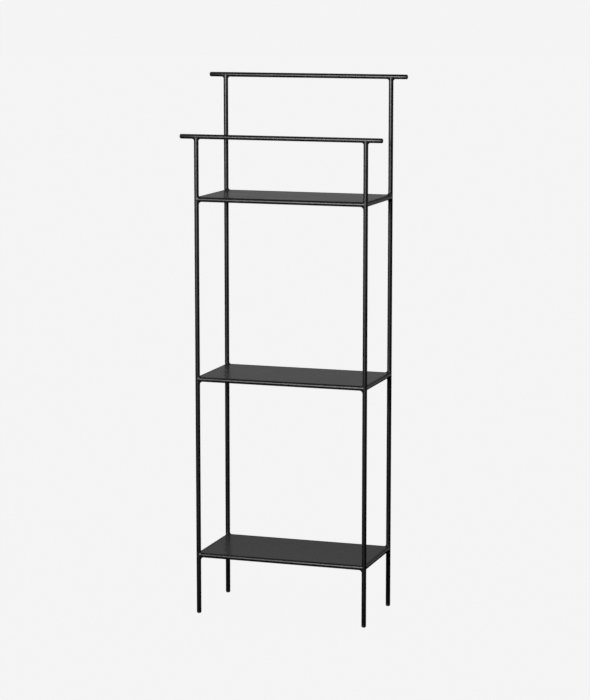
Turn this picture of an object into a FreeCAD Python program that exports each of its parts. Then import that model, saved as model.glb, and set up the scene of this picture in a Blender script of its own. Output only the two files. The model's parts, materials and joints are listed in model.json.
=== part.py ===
"""Valet stand: a welded frame of round steel tube with three sheet shelves and two hanging rails.

Units are millimetres. +X runs to the right along the rails, +Y to the rear, +Z up.
The origin is on the floor, midway between the four posts.
"""
import FreeCAD
import Part
import math
import os

# ---- Driving dimensions ------------------------------------------------------------------
post_spacing_x = 450.0      # left post axis to right post axis
post_spacing_y = 222.0      # front post axis to rear post axis
bottom_shelf_z = 156.0      # floor to the axis of the lowest shelf bars
middle_shelf_z = 621.0
top_shelf_z = 1086.0
front_rail_z = 1246.0       # floor to the axis of the low hanging rail
rear_rail_z = 1394.0        # floor to the axis of the high hanging rail
rail_overhang = 44.0        # post axis to the tip of a rail
tube_diameter = 12.0
tube_wall = 1.2
plate_thickness = 2.0
plate_drop = 0.5            # crest of the shelf bars to the top of the plate
rail_fillet_radius = 6.0    # brazed fillets under the rails
shelf_fillet_radius = 8.0   # brazed fillets above and below the shelf bars
fillet_bite = 0.35          # how far a fillet's arc dips below the crest of a tube
fillet_side_gap = 0.2       # a fillet stops this far inside the flanks of its tubes
stitch_length = 24.0        # stitch welds under a plate, between it and the bars
stitch_radius = 2.5
stitches_per_long_bar = 3
stitches_per_short_bar = 2
rail_cap_height = 4.0       # how far a rail cap stands out of its tube
rail_cap_round = 3.2        # rounding of a rail cap's rim
glide_height = 6.0          # how far a foot glide holds its post off the floor
glide_round = 4.0           # rounding of a glide's rim
plug_stem = 16.0            # length of a cap's or glide's stem in its tube
plug_clearance = 0.2        # stem to bore, all round; the ribs fill it
plug_rib_width = 1.5
plug_rib_count = 3
tip_gap = 0.8               # a coped tube stops this far before the other tube's axis plane

# ---- Sizes that follow -------------------------------------------------------------------
tube_radius = tube_diameter / 2
bore_radius = tube_radius - tube_wall
post_x = post_spacing_x / 2
post_y = post_spacing_y / 2
rail_half_length = post_x + rail_overhang
rail_tube_end = rail_half_length - rail_cap_height
plate_top_offset = tube_radius - plate_drop
reach = 4 * (tube_radius + max(rail_fillet_radius, shelf_fillet_radius))

X = FreeCAD.Vector(1, 0, 0)
Y = FreeCAD.Vector(0, 1, 0)
Z = FreeCAD.Vector(0, 0, 1)
ORIGIN = FreeCAD.Vector(0, 0, 0)

SHELVES = {"bottom": bottom_shelf_z, "middle": middle_shelf_z, "top": top_shelf_z}
ROWS = {
    "front": {"y": -post_y, "inward": Y, "rail_z": front_rail_z},
    "rear": {"y": post_y, "inward": -Y, "rail_z": rear_rail_z},
}
SIDES = {
    "left": {"x": -post_x, "inward": X},
    "right": {"x": post_x, "inward": -X},
}


def save(name, shape):
    shape.exportStep("parts/" + name + ".step")


def rod(start, direction, length, radius=tube_radius):
    return Part.makeCylinder(radius, length, start, direction)


def tube(start, direction, length):
    bore = rod(start, direction, length, bore_radius)
    return rod(start, direction, length).cut(bore)


def placed(shape, at, x_axis, z_axis):
    """Move a shape from the origin to a point, turning its X and Z to the given directions."""
    y_axis = z_axis.cross(x_axis)
    turn = FreeCAD.Matrix(
        x_axis.x, y_axis.x, z_axis.x, at.x,
        x_axis.y, y_axis.y, z_axis.y, at.y,
        x_axis.z, y_axis.z, z_axis.z, at.z,
        0, 0, 0, 1)
    moved = shape.copy()
    moved.Placement = FreeCAD.Placement(turn)
    return moved


def beyond_mitre(along, across):
    """The half of a corner, about the post axis, that belongs to the other shelf bar.

    The plane between the two bars runs up the post's axis at 45 degrees to both.
    """
    far = reach * (along + across)
    side = reach * (across - along)
    outline = Part.makePolygon([ORIGIN, far, far + side, side, ORIGIN])
    block = Part.Face(outline).extrude(2 * reach * Z)
    block.translate(-reach * Z)
    return block


# ---- Posts and rails ---------------------------------------------------------------------

def make_post(x, y, rail_z):
    """A tube from its glide up to its rail, with the top coped to sit under the rail."""
    foot = FreeCAD.Vector(x, y, glide_height)
    post = tube(foot, Z, rail_z - tip_gap - glide_height)
    rail = rod(FreeCAD.Vector(x - reach, y, rail_z), X, 2 * reach)
    return post.cut(rail)


def make_rail(y, z):
    start = FreeCAD.Vector(-rail_tube_end, y, z)
    return tube(start, X, 2 * rail_tube_end)


def make_plug(head_height, rim_round):
    """A moulded plug at the origin: rounded head down to -Z, ribbed stem up into the tube."""
    stem_radius = bore_radius - plug_clearance
    lead_in = stem_radius / 4
    tip_radius = tube_radius - rim_round
    rim_start = FreeCAD.Vector(tube_radius, 0, rim_round - head_height)
    rim_end = FreeCAD.Vector(tip_radius, 0, -head_height)
    halfway = rim_round * math.sqrt(0.5)
    rim_middle = FreeCAD.Vector(tip_radius + halfway, 0, rim_round - head_height - halfway)
    rim = Part.Arc(rim_start, rim_middle, rim_end).toShape()
    outline = Part.makePolygon([
        rim_end,
        FreeCAD.Vector(0, 0, -head_height),
        FreeCAD.Vector(0, 0, plug_stem),
        FreeCAD.Vector(stem_radius - lead_in, 0, plug_stem),
        FreeCAD.Vector(stem_radius, 0, plug_stem - lead_in),
        FreeCAD.Vector(stem_radius, 0, 0),
        FreeCAD.Vector(tube_radius, 0, 0),
        rim_start])
    plug = Part.Face(Part.Wire([rim, outline])).revolve(ORIGIN, Z, 360)
    rib_pitch = (plug_stem - lead_in) / (plug_rib_count + 1)
    for number in range(plug_rib_count):
        rib_start = (number + 1) * rib_pitch - plug_rib_width / 2
        plug = plug.fuse(rod(rib_start * Z, Z, plug_rib_width, bore_radius))
    return plug


# ---- Shelves -----------------------------------------------------------------------------

def make_shelf_bar(start, end, neighbour_directions):
    """A tube between two post axes, coped round both posts and mitred to the next bars.

    neighbour_directions holds, for the start and the end, the way the other bar leaves.
    """
    direction = (end - start).normalize()
    gap = tip_gap * direction
    bar = tube(start + gap, direction, (end - start).Length - 2 * tip_gap)
    ends = [(start, direction), (end, -direction)]
    for (corner, along), across in zip(ends, neighbour_directions):
        bar = bar.cut(rod(corner - reach * Z, Z, 2 * reach))
        other_side = beyond_mitre(along, across)
        other_side.translate(corner)
        bar = bar.cut(other_side)
    return bar


def make_shelf_plate(z):
    """A sheet let in between the bars, its edges scribed to them and notched at the posts."""
    top = z + plate_top_offset
    plate = Part.makeBox(
        post_spacing_x, post_spacing_y, plate_thickness,
        FreeCAD.Vector(-post_x, -post_y, top - plate_thickness))
    for row in ROWS.values():
        start = FreeCAD.Vector(-post_x, row["y"], z)
        plate = plate.cut(rod(start, X, post_spacing_x))
    for side in SIDES.values():
        start = FreeCAD.Vector(side["x"], -post_y, z)
        plate = plate.cut(rod(start, Y, post_spacing_y))
        for row in ROWS.values():
            foot = FreeCAD.Vector(side["x"], row["y"], z - reach)
            plate = plate.cut(rod(foot, Z, 2 * reach))
    return plate


def make_stitch_welds(start, end, inward, count):
    """Short beads, spaced evenly along the corner between a bar and the plate's underside."""
    direction = (end - start).normalize()
    under_side = plate_top_offset - plate_thickness
    inset = math.sqrt(tube_radius ** 2 - under_side ** 2)
    corner = start + inset * inward + under_side * Z
    bar = rod(start, direction, (end - start).Length)
    above = Part.makeBox(
        post_spacing_x, post_spacing_y, 2 * stitch_radius,
        FreeCAD.Vector(-post_x, -post_y, corner.z))
    pitch = (end - start).Length / (count + 1)
    beads = []
    for number in range(count):
        bead_start = corner + ((number + 1) * pitch - stitch_length / 2) * direction
        bead = rod(bead_start, direction, stitch_length, stitch_radius)
        for tip in (bead_start, bead_start + stitch_length * direction):
            bead = bead.fuse(Part.makeSphere(stitch_radius, tip))
        beads += bead.cut(above).cut(bar).Solids
    return beads


def save_shelf(name, z):
    save("shelf_" + name + "_plate", make_shelf_plate(z))
    stitches = []
    for row_name, row in ROWS.items():
        start = FreeCAD.Vector(-post_x, row["y"], z)
        end = FreeCAD.Vector(post_x, row["y"], z)
        bar = make_shelf_bar(start, end, [row["inward"], row["inward"]])
        stitches += make_stitch_welds(start, end, row["inward"], stitches_per_long_bar)
        save("shelf_" + name + "_bar_" + row_name, bar)
    for side_name, side in SIDES.items():
        start = FreeCAD.Vector(side["x"], -post_y, z)
        end = FreeCAD.Vector(side["x"], post_y, z)
        bar = make_shelf_bar(start, end, [side["inward"], side["inward"]])
        stitches += make_stitch_welds(start, end, side["inward"], stitches_per_short_bar)
        save("shelf_" + name + "_bar_" + side_name, bar)
    save("shelf_" + name + "_stitch_welds", Part.Compound(stitches))


# ---- Brazed fillets ----------------------------------------------------------------------

def make_fillet(fillet_radius):
    """The fillet in the corner between a bar along +X and a post along +Z, axes crossing at 0.

    Its outline in the plane of the axes is an arc of fillet_radius that dips into both tubes.
    Seen square to that plane's diagonal it is half an ellipse, as wide as the tubes.
    """
    centre = tube_radius + fillet_radius - fillet_bite
    half_width = tube_radius - fillet_side_gap
    corner = FreeCAD.Vector(0, -half_width, 0)
    block = Part.makeBox(centre, 2 * half_width, centre, corner)
    hollow_axis = FreeCAD.Vector(centre, -reach, centre)
    hollow = rod(hollow_axis, Y, 2 * reach, fillet_radius)
    toe = centre - math.sqrt(fillet_radius ** 2 - (fillet_radius - fillet_bite) ** 2)
    diagonal = (X + Z).normalize()
    tip = (toe + tube_radius) * math.sqrt(0.5) + fillet_side_gap
    ellipse = Part.Ellipse(tip * diagonal, tube_radius * Y, ORIGIN)
    outline = Part.Face(Part.Wire(ellipse.toShape()))
    sideways = reach * diagonal.cross(Y)
    flanks = outline.extrude(2 * sideways)
    flanks.translate(-sideways)
    fillet = block.common(flanks).cut(hollow)
    fillet = fillet.cut(rod(-reach * Z, Z, 2 * reach))
    return fillet.cut(rod(-reach * X, X, 2 * reach))


def shelf_corner_fillets(fillet, corner, along, across):
    """The fillets above and below one shelf bar, cut back from the next bar and the plate."""
    below = placed(fillet, ORIGIN, along, -Z)
    above = placed(fillet, ORIGIN, along, Z)
    plate_side = Part.Face(Part.makePolygon([
        ORIGIN, reach * along, reach * (along + across), reach * across, ORIGIN]))
    above = above.cut(plate_side.extrude(plate_top_offset * Z))
    pieces = []
    for piece in (below, above):
        kept = piece.cut(beyond_mitre(along, across))
        kept.translate(corner)
        pieces += kept.Solids
    return pieces


def make_shelf_joint_fillets(fillet, side, row, z):
    """The fillets where the two bars of a shelf corner meet their post, above and below."""
    corner = FreeCAD.Vector(side["x"], row["y"], z)
    pieces = shelf_corner_fillets(fillet, corner, side["inward"], row["inward"])
    pieces += shelf_corner_fillets(fillet, corner, row["inward"], side["inward"])
    return Part.Compound(pieces)


def make_rail_joint_fillets(fillet, side, row):
    """The fillets under a rail, on both sides of the post that carries it."""
    joint = FreeCAD.Vector(side["x"], row["y"], row["rail_z"])
    return Part.Compound([placed(fillet, joint, X, -Z), placed(fillet, joint, -X, -Z)])


# ---- Build -------------------------------------------------------------------------------

def build():
    os.makedirs("parts", exist_ok=True)
    rail_fillet = make_fillet(rail_fillet_radius)
    shelf_fillet = make_fillet(shelf_fillet_radius)
    glide = make_plug(glide_height, glide_round)
    rail_cap = make_plug(rail_cap_height, rail_cap_round)
    for row_name, row in ROWS.items():
        save("rail_" + row_name, make_rail(row["y"], row["rail_z"]))
        for side_name, side in SIDES.items():
            place = row_name + "_" + side_name
            outward = -side["inward"]
            rail_end = outward * rail_tube_end + FreeCAD.Vector(0, row["y"], row["rail_z"])
            post_end = FreeCAD.Vector(side["x"], row["y"], glide_height)
            save("post_" + place, make_post(side["x"], row["y"], row["rail_z"]))
            save("foot_glide_" + place, placed(glide, post_end, X, Z))
            save("rail_cap_" + place, placed(rail_cap, rail_end, Z, side["inward"]))
            rail_fillets = make_rail_joint_fillets(rail_fillet, side, row)
            save("rail_fillets_" + place, rail_fillets)
            for shelf_name, z in SHELVES.items():
                shelf_fillets = make_shelf_joint_fillets(shelf_fillet, side, row, z)
                save("shelf_" + shelf_name + "_fillets_" + place, shelf_fillets)
    for shelf_name, z in SHELVES.items():
        save_shelf(shelf_name, z)


build()
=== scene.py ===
"""Valet stand: smooth tubes, shelves, brazed joints and plugs, with their finishes and a studio."""

import json
import math

import bmesh
import bpy
from bpy.props import FloatProperty, FloatVectorProperty, IntProperty, PointerProperty
from mathutils import Matrix, Vector

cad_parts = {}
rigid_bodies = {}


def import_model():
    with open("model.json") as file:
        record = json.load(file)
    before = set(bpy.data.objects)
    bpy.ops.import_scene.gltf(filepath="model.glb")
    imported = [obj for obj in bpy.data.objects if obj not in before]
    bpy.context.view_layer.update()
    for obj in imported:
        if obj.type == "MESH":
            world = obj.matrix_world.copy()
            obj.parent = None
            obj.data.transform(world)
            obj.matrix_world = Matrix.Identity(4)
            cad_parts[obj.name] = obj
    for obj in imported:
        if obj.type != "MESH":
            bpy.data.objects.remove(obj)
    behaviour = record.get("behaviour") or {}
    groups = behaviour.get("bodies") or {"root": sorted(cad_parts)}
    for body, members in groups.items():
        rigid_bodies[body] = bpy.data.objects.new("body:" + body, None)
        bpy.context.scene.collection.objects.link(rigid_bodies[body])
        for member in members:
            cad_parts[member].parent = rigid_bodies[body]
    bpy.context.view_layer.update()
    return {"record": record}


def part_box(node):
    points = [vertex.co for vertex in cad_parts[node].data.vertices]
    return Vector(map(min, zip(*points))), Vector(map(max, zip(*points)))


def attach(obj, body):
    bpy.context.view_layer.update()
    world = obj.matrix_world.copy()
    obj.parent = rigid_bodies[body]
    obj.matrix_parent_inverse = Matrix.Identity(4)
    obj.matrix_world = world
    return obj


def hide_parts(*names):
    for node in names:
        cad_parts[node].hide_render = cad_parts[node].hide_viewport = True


bl_info = {
    "name": "Valet Stand",
    "version": (1, 0, 0),
    "blender": (4, 5, 0),
    "location": "View3D > Sidebar > Valet Stand",
    "description": "Builds a welded tube valet stand with three sheet shelves and two rails",
    "category": "Add Mesh",
}

for leftover in list(bpy.data.objects):
    bpy.data.objects.remove(leftover)
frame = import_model()

ROWS = ("front", "rear")
SIDES = ("left", "right")
SHELVES = ("bottom", "middle", "top")
X = Vector((1, 0, 0))
Y = Vector((0, 1, 0))
Z = Vector((0, 0, 1))
INWARD = {"left": X, "right": -X, "front": Y, "rear": -Y}
MM = 0.001
TINY = 0.01 * MM        # closer than this counts as the same place
SOFT_ANGLE = math.radians(40)

# ---- Places and sizes, from the frame -----------------------------------------------------
MOUNTS = {mount["name"]: Vector(mount["pos_m"]) for mount in frame["record"]["mounts"]}
POST_X = MOUNTS["foot_front_right"].x
POST_Y = MOUNTS["foot_rear_right"].y
RAIL_Z = {row: MOUNTS[row + "_rail_span"].z for row in ROWS}
RAIL_TUBE_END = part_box("rail_front")[1].x
RAIL_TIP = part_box("rail_cap_front_right")[1].x
GLIDE_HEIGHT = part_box("post_front_left")[0].z
PLUG_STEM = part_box("foot_glide_front_left")[1].z - GLIDE_HEIGHT
TUBE_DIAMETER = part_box("shelf_top_bar_front")[1].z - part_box("shelf_top_bar_front")[0].z
PLATE_TOP = {shelf: MOUNTS["shelf_" + shelf + "_surface"].z for shelf in SHELVES}
PLATE_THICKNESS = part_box("shelf_top_plate")[1].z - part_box("shelf_top_plate")[0].z
PLATE_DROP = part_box("shelf_top_bar_front")[1].z - PLATE_TOP["top"]


class StandSizes(bpy.types.PropertyGroup):
    """Sizes of the tubes, joints and plugs."""

    tube_diameter: FloatProperty(
        name="Tube Diameter", description="Outside diameter of every tube",
        default=TUBE_DIAMETER, min=0.004, unit="LENGTH")
    tube_wall: FloatProperty(
        name="Tube Wall", description="Wall thickness of every tube",
        default=1.2 * MM, min=0.0004, unit="LENGTH")
    end_ease: FloatProperty(
        name="End Ease", description="Rounding of a tube's cut rim next to a plug",
        default=0.3 * MM, min=0.0, unit="LENGTH")
    rail_fillet: FloatProperty(
        name="Rail Fillet", description="Radius of the brazed fillets under a rail",
        default=6 * MM, min=0.0005, unit="LENGTH")
    fillet_below: FloatProperty(
        name="Fillet Below Shelf", description="Radius of the brazed fillets under a shelf bar",
        default=8 * MM, min=0.0005, unit="LENGTH")
    fillet_above: FloatProperty(
        name="Fillet Above Shelf", description="Radius of the brazed fillets on top of a shelf bar",
        default=6 * MM, min=0.0005, unit="LENGTH")
    cap_round: FloatProperty(
        name="Cap Round", description="Rounding of a rail cap's rim",
        default=3.2 * MM, min=0.0001, unit="LENGTH")
    glide_round: FloatProperty(
        name="Glide Round", description="Rounding of a foot glide's rim",
        default=4 * MM, min=0.0001, unit="LENGTH")
    stitch_length: FloatProperty(
        name="Stitch Length", description="Length of a stitch weld under a plate",
        default=24 * MM, min=0.002, unit="LENGTH")
    stitch_radius: FloatProperty(
        name="Stitch Radius", description="Radius of a stitch weld's bead",
        default=2.5 * MM, min=0.0005, unit="LENGTH")
    stitches_long: IntProperty(
        name="Stitches Long Bar", description="Stitch welds along a front or rear bar",
        default=3, min=1)
    stitches_short: IntProperty(
        name="Stitches Short Bar", description="Stitch welds along a left or right bar",
        default=2, min=1)
    tube_sides: IntProperty(
        name="Tube Sides", description="Faces round a tube",
        default=48, min=12, max=96)


class StandFinish(bpy.types.PropertyGroup):
    """Colours and gloss of the coats and plastics."""

    frame_colour: FloatVectorProperty(
        name="Frame Coat", description="Colour of the coat on tubes and welds",
        default=(0.006, 0.006, 0.0063), subtype="COLOR", min=0.0, max=1.0)
    plate_colour: FloatVectorProperty(
        name="Plate Coat", description="Colour of the coat on the shelf plates",
        default=(0.022, 0.022, 0.0226), subtype="COLOR", min=0.0, max=1.0)
    plastic_colour: FloatVectorProperty(
        name="Plug Plastic", description="Colour of the rail caps and foot glides",
        default=(0.006, 0.006, 0.006), subtype="COLOR", min=0.0, max=1.0)
    scuff_colour: FloatVectorProperty(
        name="Scuff", description="Colour of the scuffs on a glide's foot",
        default=(0.06, 0.058, 0.055), subtype="COLOR", min=0.0, max=1.0)
    frame_roughness: FloatProperty(
        name="Frame Roughness", description="Roughness of the coat on tubes and welds",
        default=0.36, min=0.05, max=1.0, subtype="FACTOR")
    plate_roughness: FloatProperty(
        name="Plate Roughness", description="Roughness of the coat on the shelf plates",
        default=0.28, min=0.05, max=1.0, subtype="FACTOR")
    plastic_roughness: FloatProperty(
        name="Plastic Roughness", description="Roughness of the rail caps and foot glides",
        default=0.45, min=0.05, max=1.0, subtype="FACTOR")


class StandStudio(bpy.types.PropertyGroup):
    """Camera, floor and lights."""

    camera_place: FloatVectorProperty(
        name="Camera Place", description="Where the camera stands",
        default=(1.9473, -5.8498, 1.6707), subtype="TRANSLATION", unit="LENGTH")
    camera_turn: FloatProperty(
        name="Camera Turn", description="How far the camera turns left of straight ahead",
        default=math.radians(18.3886), subtype="ANGLE")
    camera_tilt: FloatProperty(
        name="Camera Tilt", description="How far the camera looks down",
        default=math.radians(9.0221), subtype="ANGLE")
    camera_lens: FloatProperty(
        name="Camera Lens", description="Focal length in millimetres on a 36 mm sensor",
        default=123.99, min=10.0)
    floor_colour: FloatVectorProperty(
        name="Floor", description="Colour of the floor and of the backdrop",
        default=(0.905, 0.905, 0.905), subtype="COLOR", min=0.0, max=1.0)
    floor_size: FloatProperty(
        name="Floor Size", description="Radius of the floor and of the backdrop",
        default=40.0, min=5.0, unit="LENGTH")
    key_power: FloatProperty(
        name="Key Light", description="Power of the wide strip in front",
        default=110.0, min=0.0, unit="POWER")
    fill_power: FloatProperty(
        name="Fill Light", description="Power of the low panel in front",
        default=5.0, min=0.0, unit="POWER")
    rear_power: FloatProperty(
        name="Rear Light", description="Power of the large panel behind",
        default=5.6, min=0.0, unit="POWER")
    rear_low_power: FloatProperty(
        name="Low Rear Light", description="Power of the low panel behind",
        default=2.6, min=0.0, unit="POWER")
    corner_power: FloatProperty(
        name="Corner Light", description="Power of the low panel behind on the left",
        default=12.0, min=0.0, unit="POWER")
    side_power: FloatProperty(
        name="Side Lights", description="Power of each high panel at the sides",
        default=22.0, min=0.0, unit="POWER")
    horizon_light: FloatProperty(
        name="Horizon Light", description="Brightness of the soft light round the horizon",
        default=0.06, min=0.0)
    overhead_light: FloatProperty(
        name="Overhead Light", description="Brightness of the soft light from above",
        default=0.02, min=0.0)


# ---- Shapes -------------------------------------------------------------------------------

def spun(outline, sides, closed=False):
    """Spin an outline of (radius, height) points about Z; a closed one makes a hollow ring."""
    bm = bmesh.new()
    verts = [bm.verts.new((radius, 0, height)) for radius, height in outline]
    pairs = list(zip(verts, verts[1:] + verts[:1])) if closed else list(zip(verts, verts[1:]))
    edges = [bm.edges.new(pair) for pair in pairs]
    bmesh.ops.spin(
        bm, geom=verts + edges, cent=(0, 0, 0), axis=(0, 0, 1),
        angle=math.tau, steps=sides, use_merge=True)
    bmesh.ops.remove_doubles(bm, verts=bm.verts, dist=TINY / 10)
    bmesh.ops.recalc_face_normals(bm, faces=bm.faces)
    return bm


def rim_edges(bm, height, radius):
    """The edges of the circle of this radius at this height."""
    def on_rim(vert):
        return abs(vert.co.xy.length - radius) < TINY and abs(vert.co.z - height) < TINY
    return [edge for edge in bm.edges if all(on_rim(vert) for vert in edge.verts)]


def eased(bm, edges, amount, steps):
    """Round these edges by an amount."""
    bmesh.ops.bevel(
        bm, geom=edges, offset=amount, offset_type="OFFSET", segments=steps,
        profile=0.5, affect="EDGES", material=-1)


def tube(length, sizes, spans):
    """A tube along +Z from the origin, divided into spans."""
    outer = sizes.tube_diameter / 2
    bore = outer - sizes.tube_wall
    stations = [length * number / spans for number in range(spans + 1)]
    outline = [(outer, z) for z in stations] + [(bore, z) for z in reversed(stations)]
    return spun(outline, sizes.tube_sides, closed=True)


def cope(bm, end, axis_at, direction, sizes, mitre=0):
    """Fit the tube's end round a crossing tube whose axis lies along X at axis_at.

    direction is the way this tube leaves the crossing one. A mitre of 1 or -1 also cuts the end
    at 45 degrees, on that side of the tube, where a third tube meets it.
    """
    radius = sizes.tube_diameter / 2 - sizes.tube_wall / 2
    for vert in bm.verts:
        if abs(vert.co.z - end) < TINY:
            clear = math.sqrt(max(radius ** 2 - vert.co.y ** 2, 0))
            if mitre:
                clear = max(clear, mitre * vert.co.y)
            vert.co.z = axis_at + direction * clear


def put(bm, place, x_axis, z_axis):
    """Move a shape made at the origin to its place, with its X and Z along these axes."""
    y_axis = z_axis.cross(x_axis)
    turn = Matrix((x_axis, y_axis, z_axis)).transposed().to_4x4()
    bmesh.ops.transform(bm, matrix=Matrix.Translation(place) @ turn, verts=bm.verts)
    return bm


def joined(shapes):
    """Several shapes as one."""
    whole = bmesh.new()
    for shape in shapes:
        mesh = bpy.data.meshes.new("part")
        shape.to_mesh(mesh)
        shape.free()
        whole.from_mesh(mesh)
        bpy.data.meshes.remove(mesh)
    return whole


def fillet(radius, sizes):
    """The brazed fillet between a tube along +X and one along +Z, as a ball rolled between them.

    It runs from side to side of the tubes, and dies out where their flanks meet.
    """
    thickness = 0.8 * MM
    tube_radius = sizes.tube_diameter / 2 - TINY
    far = tube_radius + radius
    bm = bmesh.new()
    bmesh.ops.create_grid(bm, x_segments=32, y_segments=12, size=1.0)
    for vert in bm.verts:
        around = vert.co.x * math.pi / 2
        cos, sin = math.cos(around), math.sin(around)
        to_post = Vector((-cos, -sin, 0))
        to_bar = Vector((0, -sin, -cos))
        share = (vert.co.y + 1) / 2
        outward = to_post.slerp(to_bar, share, to_post)
        vert.co = Vector((far * cos, far * sin, far * cos)) + radius * outward
    bmesh.ops.remove_doubles(bm, verts=bm.verts, dist=TINY / 10)
    bmesh.ops.recalc_face_normals(bm, faces=bm.faces)
    bmesh.ops.solidify(bm, geom=bm.faces[:] + bm.edges[:] + bm.verts[:], thickness=thickness)
    bmesh.ops.recalc_face_normals(bm, faces=bm.faces)
    return bm


def plug(head, rim_round, sizes):
    """A moulded plug: a head with a rounded rim down to -Z, and a ribbed stem up +Z."""
    outer = sizes.tube_diameter / 2
    bore = outer - sizes.tube_wall
    stem = bore - 0.2 * MM
    lead_in = stem / 4
    rib = 1.5 * MM
    ribs = 3
    shoulder_ease = 0.25 * MM
    pitch = (PLUG_STEM - lead_in) / (ribs + 1)
    outline = [(0, -head), (outer, -head), (outer, 0), (stem, 0)]
    for number in range(1, ribs + 1):
        low = number * pitch - rib / 2
        outline += [(stem, low), (bore, low), (bore, low + rib), (stem, low + rib)]
    outline += [(stem, PLUG_STEM - lead_in), (stem - lead_in, PLUG_STEM), (0, PLUG_STEM)]
    bm = spun(outline, sizes.tube_sides)
    eased(bm, rim_edges(bm, -head, outer), rim_round, steps=8)
    eased(bm, rim_edges(bm, 0, outer), shoulder_ease, steps=2)
    return bm


def stitch(sizes):
    """A weld bead along Z, centred on the origin, with the ripples of a hand weld."""
    half = sizes.stitch_length / 2
    radius = sizes.stitch_radius
    ripple = 1.6 * MM
    ripple_depth = 0.06
    steps = round(2 * (half + radius) / ripple) * 4
    outline = []
    for step in range(steps + 1):
        along = (half + radius) * (2 * step / steps - 1)
        past = max(abs(along) - half, 0)
        bulge = math.sqrt(max(radius ** 2 - past ** 2, 0))
        crest = abs(math.sin(math.pi * along / ripple))
        outline.append((bulge * (1 - ripple_depth + ripple_depth * crest), along))
    outline[0] = (0, outline[0][1])
    outline[-1] = (0, outline[-1][1])
    return spun(outline, sides=16)


def stand_pieces():
    """The collection that holds the stand's own pieces."""
    held = bpy.data.collections.get("stand")
    if not held:
        held = bpy.data.collections.new("stand")
        bpy.context.scene.collection.children.link(held)
    return held


def piece(name, bm, coat, slot, *nodes):
    """Finish a shape as a named piece that stands for its CAD nodes."""
    old = bpy.data.objects.get(name)
    if old:
        bpy.data.objects.remove(old)
    mesh = bpy.data.meshes.new(name)
    bm.to_mesh(mesh)
    bm.free()
    mesh.materials.append(coat)
    mesh.shade_smooth()
    mesh.set_sharp_from_angle(angle=SOFT_ANGLE)
    made = bpy.data.objects.new(name, mesh)
    stand_pieces().objects.link(made)
    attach(made, "root")
    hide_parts(*nodes)
    return made


def post_place(row, side):
    """Where this post's foot stands on the floor."""
    return MOUNTS["foot_" + row + "_" + side]


# ---- Finishes -----------------------------------------------------------------------------

# How many grains of each noise go into a metre
CLOUDS = 9
SPECKLE = 900
ORANGE_PEEL = 450
FINE_PEEL = 2200
SHEET_WAVES = 5.5
RUB_STREAKS = 160
PLASTIC_CLOUDS = 90
SPARK_GRAIN = 1500
SCUFF_MARKS = 420
# The values between which most of a noise lies
NOISE_LOW = 0.3
NOISE_HIGH = 0.7


class Finish:
    """A material being made: its nodes, its surface shader and its Object coordinates."""

    def __init__(self, name):
        self.material = bpy.data.materials.get(name) or bpy.data.materials.new(name)
        self.material.use_nodes = True
        self.nodes = self.material.node_tree.nodes
        self.links = self.material.node_tree.links
        self.nodes.clear()
        output = self.nodes.new("ShaderNodeOutputMaterial")
        self.surface = self.nodes.new("ShaderNodeBsdfPrincipled")
        self.links.new(self.surface.outputs["BSDF"], output.inputs["Surface"])
        self.place = self.nodes.new("ShaderNodeTexCoord").outputs["Object"]

    def noise(self, scale, detail=2.0, stretch=(1, 1, 1)):
        """Noise with this many grains in a metre. A stretch under 1 draws them out on its axis."""
        mapping = self.nodes.new("ShaderNodeMapping")
        mapping.inputs["Scale"].default_value = stretch
        self.links.new(self.place, mapping.inputs["Vector"])
        node = self.nodes.new("ShaderNodeTexNoise")
        node.inputs["Scale"].default_value = scale
        node.inputs["Detail"].default_value = detail
        self.links.new(mapping.outputs["Vector"], node.inputs["Vector"])
        return node.outputs["Fac"]

    def ranged(self, value, from_low, from_high, to_low, to_high):
        """A value carried from one range to another, and held inside it."""
        node = self.nodes.new("ShaderNodeMapRange")
        for socket, number in (
                ("From Min", from_low), ("From Max", from_high),
                ("To Min", to_low), ("To Max", to_high)):
            node.inputs[socket].default_value = number
        self.links.new(value, node.inputs["Value"])
        return node.outputs["Result"]

    def math(self, operation, first, second):
        """Two values added, subtracted or multiplied."""
        node = self.nodes.new("ShaderNodeMath")
        node.operation = operation
        for socket, value in zip(node.inputs, (first, second)):
            if isinstance(value, float):
                socket.default_value = value
            else:
                self.links.new(value, socket)
        return node.outputs["Value"]

    def blend(self, share, first, second):
        """A colour between two, by a share."""
        node = self.nodes.new("ShaderNodeMix")
        node.data_type = "RGBA"
        self.links.new(share, node.inputs["Factor"])
        for socket, colour in ((node.inputs[6], first), (node.inputs[7], second)):
            if isinstance(colour, tuple):
                socket.default_value = (*colour, 1.0)
            else:
                self.links.new(colour, socket)
        return node.outputs[2]

    def bumped(self, height, depth, under=None):
        """A bump of this depth in metres, laid over another."""
        node = self.nodes.new("ShaderNodeBump")
        node.inputs["Strength"].default_value = 1.0
        node.inputs["Distance"].default_value = depth
        self.links.new(height, node.inputs["Height"])
        if under:
            self.links.new(under, node.inputs["Normal"])
        return node.outputs["Normal"]

    def finish(self, colour, roughness, normal, specular):
        """Wire these to the surface and give the material."""
        self.links.new(colour, self.surface.inputs["Base Color"])
        self.links.new(roughness, self.surface.inputs["Roughness"])
        self.links.new(normal, self.surface.inputs["Normal"])
        self.surface.inputs["Specular IOR Level"].default_value = specular
        return self.material


def shade(colour, factor):
    """A lighter or darker colour."""
    return tuple(min(part * factor, 1.0) for part in colour)


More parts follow.
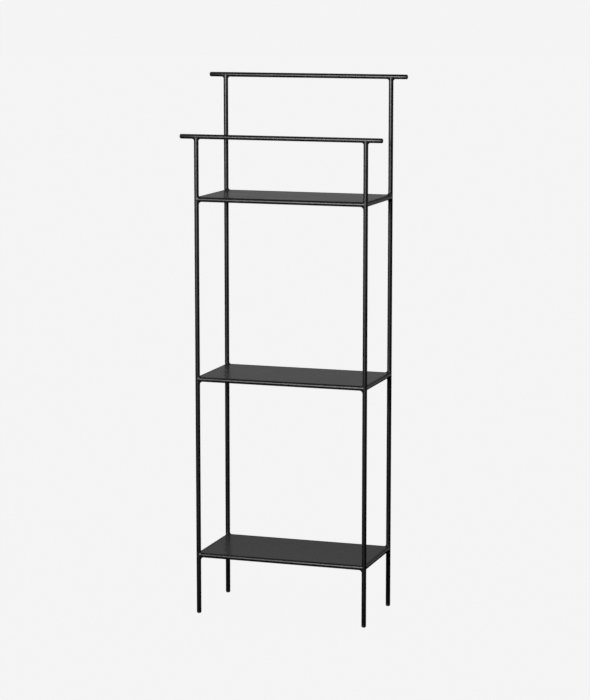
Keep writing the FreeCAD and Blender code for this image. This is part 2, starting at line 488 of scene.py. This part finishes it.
def powder_coat(name, colour, roughness, peel, waviness=0.0, rubbed=False):
    """Satin powder coat: fine orange peel, a drifting gloss and a slightly uneven black.

    peel and waviness are depths in metres. A rubbed coat is glossier in streaks along its crest.
    """
    gloss_drift = 0.012
    gloss_speckle = 0.01
    tone_drift = 0.14
    rub_gloss = 0.06
    rub_tone = 1.9
    coat = Finish(name)
    drift = coat.noise(CLOUDS, detail=1.5)
    speckle = coat.noise(SPECKLE, detail=1.0)
    tone = coat.blend(
        coat.ranged(drift, NOISE_LOW, NOISE_HIGH, 0, 1),
        shade(colour, 1 - tone_drift), shade(colour, 1 + tone_drift))
    matte = coat.math(
        "ADD",
        coat.ranged(drift, NOISE_LOW, NOISE_HIGH, roughness - gloss_drift, roughness + gloss_drift),
        coat.ranged(speckle, NOISE_LOW, NOISE_HIGH, -gloss_speckle, gloss_speckle))
    if rubbed:
        normal = coat.nodes.new("ShaderNodeNewGeometry").outputs["Normal"]
        facing = coat.nodes.new("ShaderNodeSeparateXYZ")
        coat.links.new(normal, facing.inputs["Vector"])
        crest = coat.ranged(facing.outputs["Z"], 0.75, 1.0, 0, 1)
        along_rail = (0.06, 1, 1)
        streaks = coat.ranged(coat.noise(RUB_STREAKS, stretch=along_rail), 0.45, 0.75, 0, 1)
        rub = coat.math("MULTIPLY", crest, streaks)
        matte = coat.math("SUBTRACT", matte, coat.math("MULTIPLY", rub, rub_gloss))
        tone = coat.blend(coat.math("MULTIPLY", rub, 0.5), tone, shade(colour, rub_tone))
    bump = coat.bumped(coat.noise(ORANGE_PEEL, detail=1.0), peel)
    bump = coat.bumped(coat.noise(FINE_PEEL, detail=1.0), peel / 8, bump)
    if waviness:
        bump = coat.bumped(coat.noise(SHEET_WAVES, detail=1.0), waviness, bump)
    return coat.finish(tone, matte, bump, specular=0.5)


def frame_coat(finish):
    """The coat on posts and bars."""
    return powder_coat(
        "frame_coat", tuple(finish.frame_colour), finish.frame_roughness, peel=0.004 * MM)


def rail_coat(finish):
    """The frame's coat, rubbed where hangers slide."""
    return powder_coat(
        "rail_coat", tuple(finish.frame_colour), finish.frame_roughness, peel=0.004 * MM,
        rubbed=True)


def braze_coat(finish):
    """The frame's coat over filed braze, which stays a little lumpy."""
    return powder_coat(
        "braze_coat", tuple(finish.frame_colour), finish.frame_roughness + 0.02, peel=0.006 * MM)


def plate_coat(finish):
    """A smoother coat on sheet that is not quite flat."""
    return powder_coat(
        "plate_coat", tuple(finish.plate_colour), finish.plate_roughness, peel=0.003 * MM,
        waviness=0.15 * MM)


def moulded_plastic(finish, name, scuffed):
    """Matte moulded plastic with a fine spark grain, scuffed pale at its foot if asked."""
    plastic = Finish(name)
    colour = tuple(finish.plastic_colour)
    roughness = finish.plastic_roughness
    tone_drift = 0.15
    gloss_drift = 0.04
    drift = plastic.noise(PLASTIC_CLOUDS)
    tone = plastic.blend(
        plastic.ranged(drift, NOISE_LOW, NOISE_HIGH, 0, 1),
        shade(colour, 1 - tone_drift), shade(colour, 1 + tone_drift))
    matte = plastic.ranged(
        drift, NOISE_LOW, NOISE_HIGH, roughness - gloss_drift, roughness + gloss_drift)
    if scuffed:
        height = plastic.nodes.new("ShaderNodeSeparateXYZ")
        plastic.links.new(plastic.place, height.inputs["Vector"])
        scuff_height = 1.6 * MM
        low = plastic.ranged(height.outputs["Z"], 0.0, scuff_height, 1, 0)
        scratches = plastic.noise(SCUFF_MARKS, detail=4.0, stretch=(1, 2.5, 1))
        marks = plastic.ranged(scratches, 0.45, 0.62, 0, 1)
        scuff = plastic.math("MULTIPLY", low, marks)
        tone = plastic.blend(scuff, tone, tuple(finish.scuff_colour))
        matte = plastic.math("ADD", matte, plastic.math("MULTIPLY", scuff, 0.25))
    grain = 0.004 * MM
    bump = plastic.bumped(plastic.noise(SPARK_GRAIN, detail=1.0), grain)
    return plastic.finish(tone, matte, bump, specular=0.45)


# ---- Pieces -------------------------------------------------------------------------------

class VALET_OT_posts(bpy.types.Operator):
    """Add the four posts, coped under their rails"""

    bl_idname = "valet.add_posts"
    bl_label = "Add Posts"

    def execute(self, context):
        sizes = context.scene.stand_sizes
        coat = frame_coat(context.scene.stand_finish)
        for row in ROWS:
            for side in SIDES:
                length = RAIL_Z[row] - GLIDE_HEIGHT
                post = tube(length, sizes, spans=16)
                outer = sizes.tube_diameter / 2
                eased(post, rim_edges(post, 0, outer), sizes.end_ease, steps=2)
                cope(post, length, length, -1, sizes)
                put(post, post_place(row, side) + GLIDE_HEIGHT * Z, X, Z)
                name = "post_" + row + "_" + side
                piece("tube_" + name, post, coat, "frame_coat", name)
        return {"FINISHED"}


class VALET_OT_rails(bpy.types.Operator):
    """Add the two hanging rails"""

    bl_idname = "valet.add_rails"
    bl_label = "Add Rails"

    def execute(self, context):
        sizes = context.scene.stand_sizes
        coat = rail_coat(context.scene.stand_finish)
        outer = sizes.tube_diameter / 2
        for row in ROWS:
            length = 2 * RAIL_TUBE_END
            rail = tube(length, sizes, spans=12)
            for end in (0, length):
                eased(rail, rim_edges(rail, end, outer), sizes.end_ease, steps=2)
            start = MOUNTS[row + "_rail_span"] - RAIL_TUBE_END * X
            put(rail, start, Z, X)
            piece("tube_rail_" + row, rail, coat, "frame_coat", "rail_" + row)
        return {"FINISHED"}


class VALET_OT_plugs(bpy.types.Operator):
    """Add the rail caps and the foot glides"""

    bl_idname = "valet.add_plugs"
    bl_label = "Add Caps and Glides"

    def execute(self, context):
        sizes = context.scene.stand_sizes
        finish = context.scene.stand_finish
        cap_plastic = moulded_plastic(finish, "cap_plastic", False)
        glide_plastic = moulded_plastic(finish, "glide_plastic", True)
        for row in ROWS:
            for side in SIDES:
                place = row + "_" + side
                cap = plug(RAIL_TIP - RAIL_TUBE_END, sizes.cap_round, sizes)
                end = MOUNTS[row + "_rail_span"] - RAIL_TUBE_END * INWARD[side]
                put(cap, end, Z, INWARD[side])
                piece("cap_rail_" + place, cap, cap_plastic, "cap_plastic", "rail_cap_" + place)
                glide = plug(GLIDE_HEIGHT, sizes.glide_round, sizes)
                put(glide, post_place(row, side) + GLIDE_HEIGHT * Z, X, Z)
                piece(
                    "glide_foot_" + place, glide, glide_plastic, "glide_plastic",
                    "foot_glide_" + place)
        return {"FINISHED"}


class VALET_OT_shelf_bars(bpy.types.Operator):
    """Add the four bars of every shelf, coped round the posts and mitred to each other"""

    bl_idname = "valet.add_shelf_bars"
    bl_label = "Add Shelf Bars"

    def execute(self, context):
        sizes = context.scene.stand_sizes
        coat = frame_coat(context.scene.stand_finish)
        for shelf in SHELVES:
            axis_z = PLATE_TOP[shelf] + PLATE_DROP - sizes.tube_diameter / 2
            runs = (
                ("front", Vector((-POST_X, -POST_Y, axis_z)), X, 2 * POST_X),
                ("rear", Vector((-POST_X, POST_Y, axis_z)), X, 2 * POST_X),
                ("left", Vector((-POST_X, -POST_Y, axis_z)), Y, 2 * POST_Y),
                ("right", Vector((POST_X, -POST_Y, axis_z)), Y, 2 * POST_Y))
            for edge, start, along, length in runs:
                bar = tube(length, sizes, spans=6)
                mitre = INWARD[edge].dot(along.cross(Z))
                cope(bar, 0, 0, 1, sizes, mitre)
                cope(bar, length, length, -1, sizes, mitre)
                put(bar, start, Z, along)
                name = "shelf_" + shelf + "_bar_" + edge
                piece("tube_" + name, bar, coat, "frame_coat", name)
        return {"FINISHED"}


class VALET_OT_plates(bpy.types.Operator):
    """Add the sheet plate of every shelf, scribed to its bars and cut back at the posts"""

    bl_idname = "valet.add_plates"
    bl_label = "Add Plates"

    def execute(self, context):
        sizes = context.scene.stand_sizes
        coat = plate_coat(context.scene.stand_finish)
        radius = sizes.tube_diameter / 2
        bite = 0.3 * MM
        above_axis = radius - PLATE_DROP
        top_inset = math.sqrt(radius ** 2 - above_axis ** 2) - bite
        low_inset = math.sqrt(radius ** 2 - (above_axis - PLATE_THICKNESS) ** 2) - bite
        size = Vector((2 * (POST_X - top_inset), 2 * (POST_Y - top_inset), PLATE_THICKNESS))
        for shelf in SHELVES:
            plate = bmesh.new()
            bmesh.ops.create_cube(plate, size=1.0)
            bmesh.ops.scale(plate, vec=size, verts=plate.verts)
            upright = [e for e in plate.edges if abs(e.verts[0].co.z - e.verts[1].co.z) > MM]
            notch = math.sqrt(2) * (radius - 2 * bite) - 2 * top_inset
            eased(plate, upright, notch, steps=1)
            low = [vert for vert in plate.verts if vert.co.z < 0]
            shrink = Vector((
                1 - 2 * (low_inset - top_inset) / size.x,
                1 - 2 * (low_inset - top_inset) / size.y, 1))
            bmesh.ops.scale(plate, vec=shrink, verts=low)
            middle_z = PLATE_TOP[shelf] - PLATE_THICKNESS / 2
            bmesh.ops.translate(plate, vec=middle_z * Z, verts=plate.verts)
            name = "shelf_" + shelf + "_plate"
            piece("sheet_" + name, plate, coat, "plate_coat", name)
        return {"FINISHED"}


class VALET_OT_fillets(bpy.types.Operator):
    """Add the brazed fillets under the rails and at the shelf corners"""

    bl_idname = "valet.add_fillets"
    bl_label = "Add Brazed Fillets"

    def execute(self, context):
        sizes = context.scene.stand_sizes
        coat = braze_coat(context.scene.stand_finish)
        for row in ROWS:
            for side in SIDES:
                place = row + "_" + side
                joint = post_place(row, side) + RAIL_Z[row] * Z
                under_rail = [
                    put(fillet(sizes.rail_fillet, sizes), joint, along, -Z) for along in (X, -X)]
                name = "rail_fillets_" + place
                piece("braze_" + name, joined(under_rail), coat, "frame_coat", name)
                for shelf in SHELVES:
                    axis_z = PLATE_TOP[shelf] + PLATE_DROP - sizes.tube_diameter / 2
                    corner = post_place(row, side) + axis_z * Z
                    runs = []
                    for along in (INWARD[side], INWARD[row]):
                        runs.append(put(fillet(sizes.fillet_below, sizes), corner, along, -Z))
                        runs.append(put(fillet(sizes.fillet_above, sizes), corner, along, Z))
                    name = "shelf_" + shelf + "_fillets_" + place
                    piece("braze_" + name, joined(runs), coat, "frame_coat", name)
        return {"FINISHED"}


class VALET_OT_stitches(bpy.types.Operator):
    """Add the stitch welds between the bars and the underside of every plate"""

    bl_idname = "valet.add_stitches"
    bl_label = "Add Stitch Welds"

    def execute(self, context):
        sizes = context.scene.stand_sizes
        coat = braze_coat(context.scene.stand_finish)
        radius = sizes.tube_diameter / 2
        under = radius - PLATE_DROP - PLATE_THICKNESS
        inset = math.sqrt(radius ** 2 - under ** 2)
        sunk = 0.2 * MM
        for shelf in SHELVES:
            under_z = PLATE_TOP[shelf] - PLATE_THICKNESS
            beads = []
            for edge, along, half, away, count in (
                    ("front", X, POST_X, POST_Y, sizes.stitches_long),
                    ("rear", X, POST_X, POST_Y, sizes.stitches_long),
                    ("left", Y, POST_Y, POST_X, sizes.stitches_short),
                    ("right", Y, POST_Y, POST_X, sizes.stitches_short)):
                corner = (inset - away) * INWARD[edge] + under_z * Z
                for number in range(count):
                    at = half * (2 * (number + 1) / (count + 1) - 1)
                    bead = put(stitch(sizes), corner + at * along, Z, along)
                    cut = bmesh.ops.bisect_plane(
                        bead, geom=bead.verts[:] + bead.edges[:] + bead.faces[:],
                        plane_co=corner + sunk * Z, plane_no=Z, clear_outer=True)
                    cut_edges = [e for e in cut["geom_cut"] if isinstance(e, bmesh.types.BMEdge)]
                    bmesh.ops.holes_fill(bead, edges=cut_edges)
                    beads.append(bead)
            name = "shelf_" + shelf + "_stitch_welds"
            piece("weld_" + name, joined(beads), coat, "frame_coat", name)
        return {"FINISHED"}


# ---- Studio -------------------------------------------------------------------------------

def pale_paint(studio):
    """The floor's and backdrop's even, self-lit white."""
    paint = Finish("studio_paint")
    tone = tuple(studio.floor_colour)
    paint.surface.inputs["Base Color"].default_value = (0.2, 0.2, 0.2, 1)
    paint.surface.inputs["Roughness"].default_value = 1.0
    paint.surface.inputs["Specular IOR Level"].default_value = 0.0
    paint.surface.inputs["Emission Color"].default_value = (*tone, 1)
    paint.surface.inputs["Emission Strength"].default_value = 1.0
    return paint.material


def panel(name, place, aim, width, height, power):
    """A soft rectangular light that faces a point."""
    light = bpy.data.lights.new(name, "AREA")
    light.shape = "RECTANGLE"
    light.size = width
    light.size_y = height
    light.energy = power
    lamp = bpy.data.objects.new(name, light)
    lamp.location = place
    lamp.rotation_euler = (aim - place).to_track_quat("-Z", "Y").to_euler()
    lamp.visible_camera = False
    lamp.light_linking.receiver_collection = stand_pieces()
    bpy.context.scene.collection.objects.link(lamp)


def horizon_glow(world, studio):
    """A soft light that is strongest just above the horizon and dark below it."""
    world.use_nodes = True
    nodes = world.node_tree.nodes
    links = world.node_tree.links
    nodes.clear()
    output = nodes.new("ShaderNodeOutputWorld")
    background = nodes.new("ShaderNodeBackground")
    ramp = nodes.new("ShaderNodeValToRGB")
    height = nodes.new("ShaderNodeMapRange")
    height.inputs["From Min"].default_value = -1.0
    split = nodes.new("ShaderNodeSeparateXYZ")
    direction = nodes.new("ShaderNodeTexCoord").outputs["Generated"]
    links.new(direction, split.inputs["Vector"])
    links.new(split.outputs["Z"], height.inputs["Value"])
    links.new(height.outputs["Result"], ramp.inputs["Fac"])
    links.new(ramp.outputs["Color"], background.inputs["Color"])
    links.new(background.outputs["Background"], output.inputs["Surface"])
    horizon, overhead = studio.horizon_light, studio.overhead_light
    steps = ramp.color_ramp.elements
    steps[0].color = (0, 0, 0, 1)
    steps[1].color = (overhead, overhead, overhead, 1)
    for place, glow in (
            (0.49, 0.0), (0.51, horizon), (0.6, horizon / 2), (0.7, max(horizon / 10, overhead))):
        steps.new(place).color = (glow, glow, glow, 1)


def panels(studio):
    """Every soft light: its name, place, the point that it faces, width, height and power."""
    front = [
        ("key_strip", (-0.25, -3.0, 1.65), (0, 0, 1.3), 1.7, 0.5, studio.key_power),
        ("low_fill", (-0.3, -3.0, 0.65), (0, 0, 0.6), 1.6, 1.2, studio.fill_power)]
    rear = [
        ("rear_panel", (0, 3.95, 1.65), (0, 0, 0.9), 5.5, 1.1, studio.rear_power),
        ("low_rear", (1.45, 3.1, 0.45), (0, 0, 0.7), 2.2, 0.8, studio.rear_low_power),
        ("rear_corner", (-2.4, 2.4, 0.55), (0, 0, 0.8), 1.3, 0.9, studio.corner_power)]
    sides = [
        ("side_" + side, (-2.6 * INWARD[side].x, 0.6, 2.9), (0, 0, 0.8), 2.4, 1.6, studio.side_power)
        for side in SIDES]
    return front + rear + sides


def add_surroundings(studio):
    """The floor and the backdrop round it, which cast no shadow and light nothing."""
    paint = pale_paint(studio)
    ground = bmesh.new()
    bmesh.ops.create_circle(ground, cap_ends=True, segments=96, radius=studio.floor_size)
    sky = bmesh.new()
    bmesh.ops.create_icosphere(sky, subdivisions=4, radius=studio.floor_size)
    bmesh.ops.reverse_faces(sky, faces=sky.faces)
    for name, bm in (("floor", ground), ("backdrop", sky)):
        mesh = bpy.data.meshes.new(name)
        bm.to_mesh(mesh)
        bm.free()
        mesh.materials.append(paint)
        made = bpy.data.objects.new(name, mesh)
        bpy.context.scene.collection.objects.link(made)
        made.visible_glossy = False
        made.visible_diffuse = False
        made.visible_transmission = False
        made.visible_shadow = False


def add_camera(studio):
    """The camera, standing in front on the right and looking a little down."""
    lens = bpy.data.cameras.new("camera")
    lens.lens = studio.camera_lens
    lens.sensor_width = 36
    lens.clip_end = 200
    camera = bpy.data.objects.new("camera", lens)
    camera.location = studio.camera_place
    camera.rotation_euler = (math.pi / 2 - studio.camera_tilt, 0, studio.camera_turn)
    bpy.context.scene.collection.objects.link(camera)
    bpy.context.scene.camera = camera


class VALET_OT_studio(bpy.types.Operator):
    """Add the pale floor, the backdrop, the lights and the camera"""

    bl_idname = "valet.add_studio"
    bl_label = "Add Studio"

    def execute(self, context):
        scene = context.scene
        studio = scene.stand_studio
        scene.view_settings.view_transform = "Standard"
        add_surroundings(studio)
        scene.world = bpy.data.worlds.new("horizon_glow")
        horizon_glow(scene.world, studio)
        for name, place, aim, width, height, power in panels(studio):
            panel(name, Vector(place), Vector(aim), width, height, power)
        add_camera(studio)
        return {"FINISHED"}


class VALET_PT_stand(bpy.types.Panel):
    """Sizes, finishes and steps of the valet stand"""

    bl_label = "Valet Stand"
    bl_idname = "VALET_PT_stand"
    bl_space_type = "VIEW_3D"
    bl_region_type = "UI"
    bl_category = "Valet Stand"

    def draw(self, context):
        layout = self.layout
        for step in STEPS:
            layout.operator(step.bl_idname)
        for group in (
                context.scene.stand_sizes, context.scene.stand_finish,
                context.scene.stand_studio):
            box = layout.box()
            for name in group.__annotations__:
                box.prop(group, name)


GROUPS = {
    "stand_sizes": StandSizes,
    "stand_finish": StandFinish,
    "stand_studio": StandStudio,
}
STEPS = (
    VALET_OT_posts,
    VALET_OT_rails,
    VALET_OT_plugs,
    VALET_OT_shelf_bars,
    VALET_OT_plates,
    VALET_OT_fillets,
    VALET_OT_stitches,
    VALET_OT_studio,
)


def register():
    for name, group in GROUPS.items():
        bpy.utils.register_class(group)
        setattr(bpy.types.Scene, name, PointerProperty(type=group))
    for step in STEPS:
        bpy.utils.register_class(step)
    bpy.utils.register_class(VALET_PT_stand)


def unregister():
    bpy.utils.unregister_class(VALET_PT_stand)
    for step in reversed(STEPS):
        bpy.utils.unregister_class(step)
    for name, group in GROUPS.items():
        delattr(bpy.types.Scene, name)
        bpy.utils.unregister_class(group)


def main():
    register()
    bpy.ops.valet.add_posts()
    bpy.ops.valet.add_rails()
    bpy.ops.valet.add_plugs()
    bpy.ops.valet.add_shelf_bars()
    bpy.ops.valet.add_plates()
    bpy.ops.valet.add_fillets()
    bpy.ops.valet.add_stitches()
    bpy.ops.valet.add_studio()


if __name__ == "__main__":
    main()
